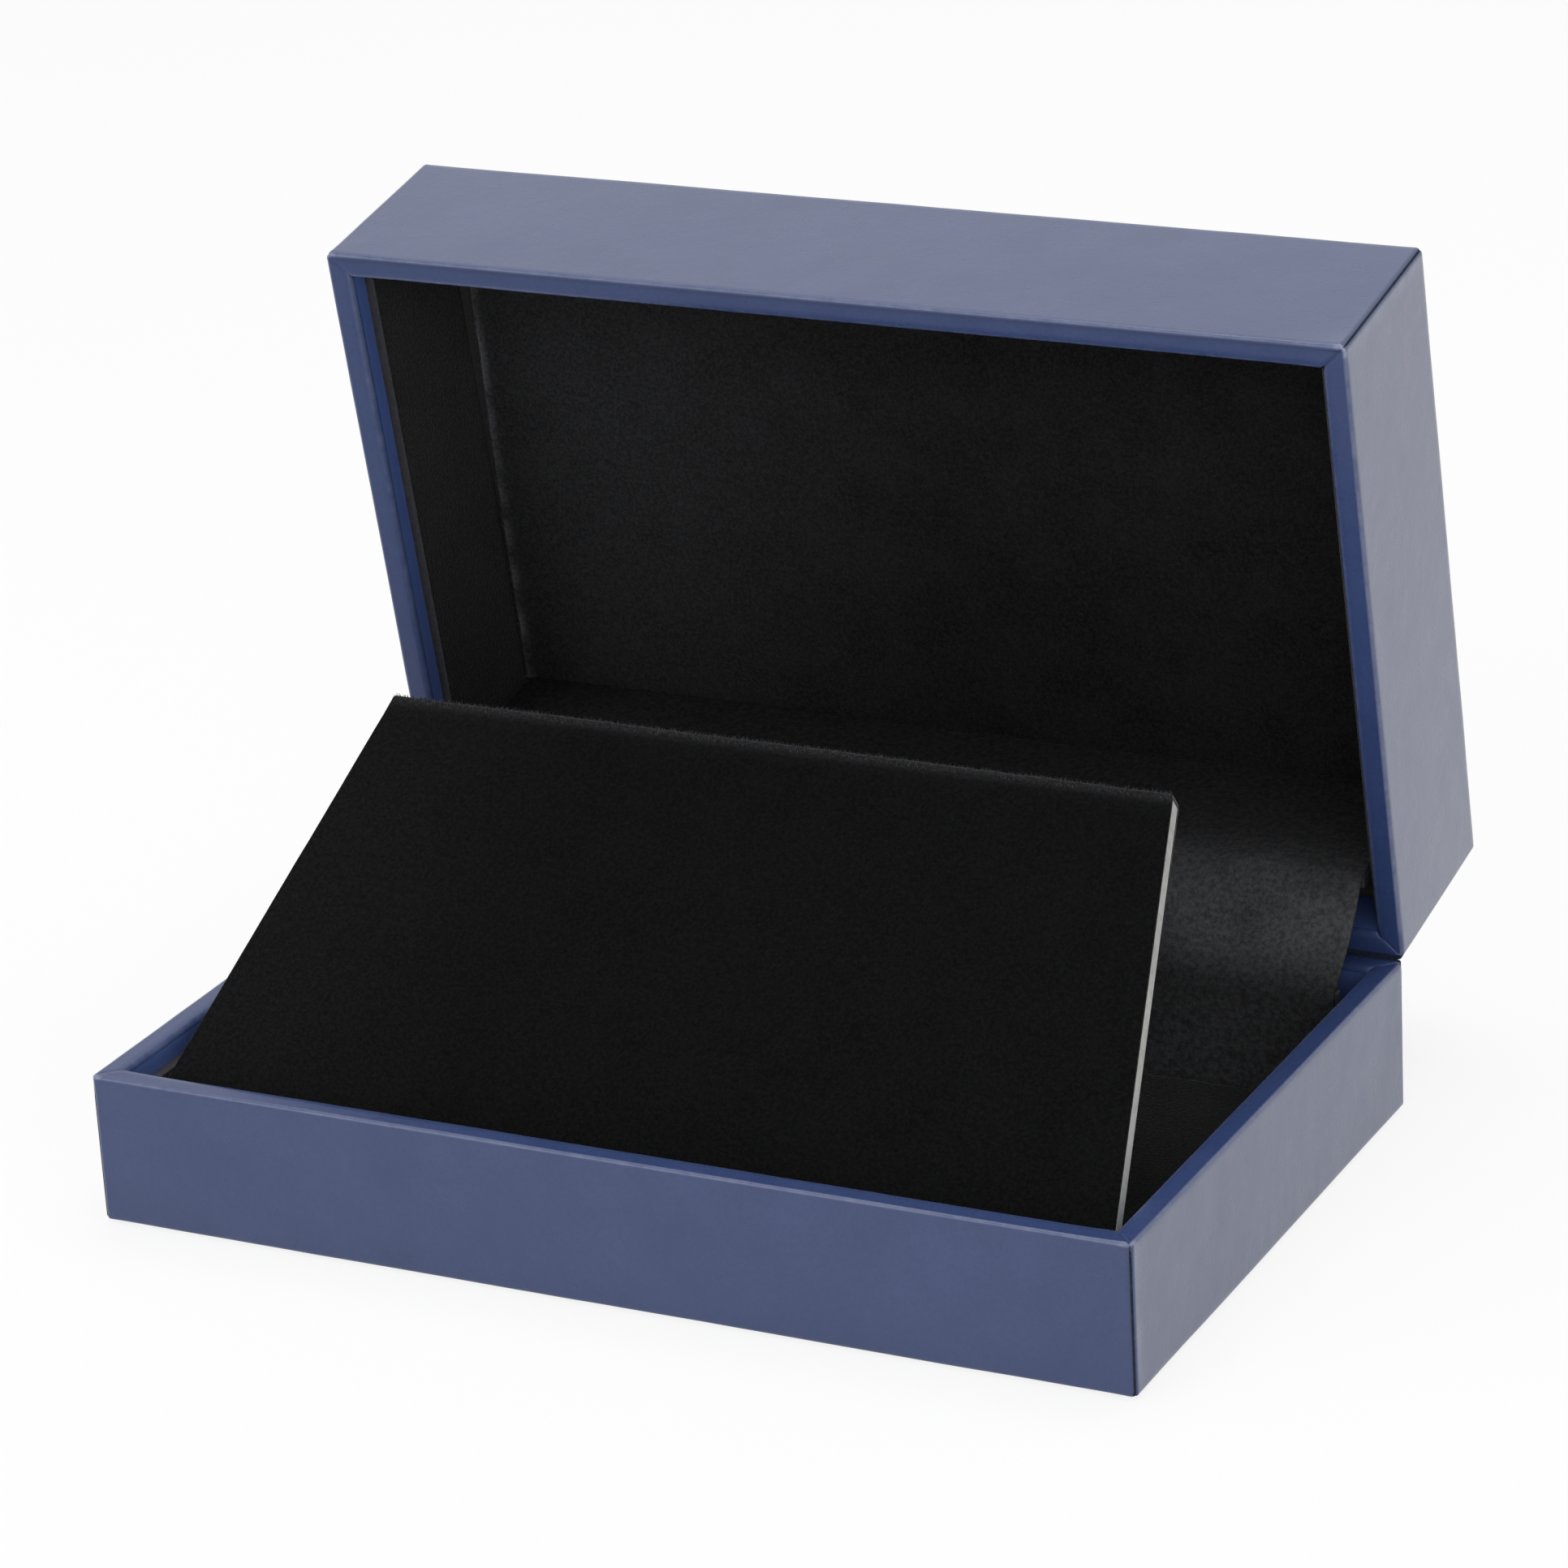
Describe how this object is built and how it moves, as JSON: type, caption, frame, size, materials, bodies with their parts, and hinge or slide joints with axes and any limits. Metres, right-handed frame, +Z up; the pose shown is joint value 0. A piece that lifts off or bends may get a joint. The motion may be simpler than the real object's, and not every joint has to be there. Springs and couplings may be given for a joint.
{
  "type": "pin display case",
  "caption": "Small hinged presentation case, open, with a leatherette outside, a velvet inside and a folding easel panel for pins.",
  "frame": {"origin": "centre of the underside, where the case stands on a table", "axes": "+X to the right along the hinge, -Y to the open front, +Z up"},
  "size_m": [0.105, 0.0848, 0.0827],
  "materials": {
    "leatherette": "satin embossed leatherette paper",
    "tray_board": "stiff grey board, hidden",
    "velvet": "short black pile",
    "underside_paper": "smooth matt paper",
    "pale_board": "pale cut board",
    "black_board": "black board",
    "cloth_tape": "fine woven tape",
    "hinge_metal": "plated pressed metal",
    "spring_steel": "bright spring strip"
  },
  "bodies": {
    "base": {"base_shell": "tray_board", "base_wrap": "leatherette", "base_underside_sheet": "underside_paper", "base_front_card": "velvet", "base_left_card": "velvet", "base_right_card": "velvet", "base_floor_board": "black_board", "base_floor_velvet": "velvet", "hinge_screen": "black_board", "hinge_cover": "velvet", "panel_anchor_strip": "black_board", "panel_crease_tape": "cloth_tape", "hinge_base_rivets": "hinge_metal", "left_hinge_base_leaf": "hinge_metal", "right_hinge_base_leaf": "hinge_metal", "left_hinge_pin": "hinge_metal", "right_hinge_pin": "hinge_metal", "left_hinge_snap_spring": "spring_steel", "right_hinge_snap_spring": "spring_steel"},
    "panel": {"panel_board": "pale_board", "panel_velvet": "velvet", "leg_hinge_tape": "cloth_tape", "leg_ribbon": "cloth_tape"},
    "leg": {"support_leg": "black_board"},
    "lid": {"lid_shell": "tray_board", "lid_wrap": "leatherette", "lid_front_card": "velvet", "lid_left_card": "velvet", "lid_right_card": "velvet", "lid_ceiling_board": "black_board", "lid_ceiling_velvet": "velvet", "hinge_shelf": "black_board", "hinge_lid_rivets": "hinge_metal", "left_hinge_lid_leaf": "hinge_metal", "right_hinge_lid_leaf": "hinge_metal"}
  },
  "joints": [
    {"name": "lid_hinge", "type": "hinge", "parent": "base", "child": "lid", "pos_m": [0, 0.0325, 0.01515], "axis": [1, 0, 0], "range_deg": [0, 79.5], "deforming": ["hinge_cover"]},
    {"name": "panel_fold", "type": "hinge", "parent": "base", "child": "panel", "pos_m": [0, -0.0274, 0.00933], "axis": [1, 0, 0], "range_deg": [-39.07, 0], "deforming": ["panel_crease_tape"]},
    {"name": "leg_fold", "type": "hinge", "parent": "panel", "child": "leg", "pos_m": [0, -0.01094, 0.02237], "axis": [1, 0, 0], "range_deg": [0, 89.47], "deforming": ["leg_hinge_tape", "leg_ribbon"]}
  ],
  "couplings": [
    {"joint": "panel_fold", "follows": "lid_hinge", "ratio": -0.49145},
    {"joint": "leg_fold", "follows": "lid_hinge", "ratio": 1.1254}
  ]
}
